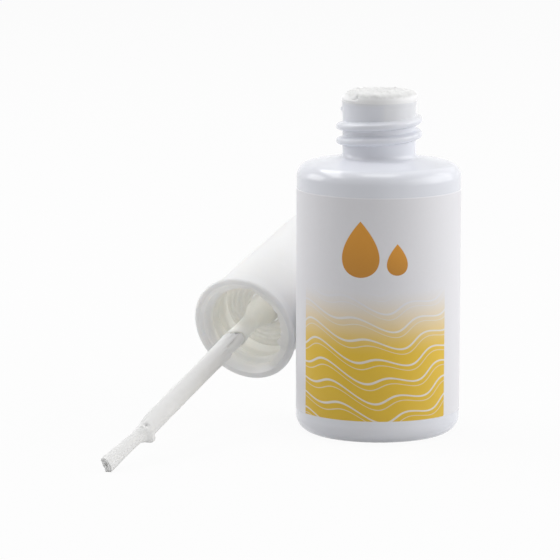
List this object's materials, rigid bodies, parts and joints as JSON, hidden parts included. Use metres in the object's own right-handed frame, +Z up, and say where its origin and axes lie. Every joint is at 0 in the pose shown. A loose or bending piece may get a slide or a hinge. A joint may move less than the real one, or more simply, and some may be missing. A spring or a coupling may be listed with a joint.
{
  "type": "correction fluid bottle",
  "caption": "Round white plastic bottle with a wrap label and a threaded neck, its tall brush cap taken off and leaning beside it, for painting over written mistakes.",
  "frame": {"origin": "centre of the bottle's flat base, on the surface it stands on", "axes": "+Z up along the bottle's axis, -Y towards the label's front, the cap leaning on the -X side with its brush pointing to -X and -Y"},
  "size_m": [0.0591, 0.0728, 0.0585],
  "materials": {
    "bottle_plastic": "semi-gloss white polyethylene",
    "label_paper": "satin printed paper",
    "wiper_plastic": "soft satin polyethylene with dried fluid",
    "cap_plastic": "satin white polypropylene",
    "liner_foam": "matte foamed polyethylene",
    "stem_plastic": "satin, coated with dried fluid",
    "bristle_nylon": "nylon strands coated with fluid",
    "steel": "bright"
  },
  "bodies": {
    "bottle": {"bottle_body": "bottle_plastic", "wrap_label": "label_paper", "neck_wiper": "wiper_plastic"},
    "ball": {"mixing_ball": "steel"},
    "liner": {"seal_liner": "liner_foam"},
    "cap": {"cap_shell": "cap_plastic", "brush_stem": "stem_plastic", "tuft_staple": "steel", "bristle_tuft": "bristle_nylon"}
  },
  "joints": [
    {"name": "ball_rattle", "type": "slide", "parent": "bottle", "child": "ball", "axis": [0, 0, 1], "range_m": [0, 0.0428]},
    {"name": "wand_lift", "type": "slide", "parent": "bottle", "child": "liner", "axis": [0, 0, 1], "range_m": [0, 0.065]},
    {"name": "cap_turn", "type": "hinge", "parent": "liner", "child": "cap", "pos_m": [-0.02301, 0.00719, 0.01619], "axis": [-0.4309, -0.8493, -0.3049], "range_deg": [0, 540]}
  ]
}
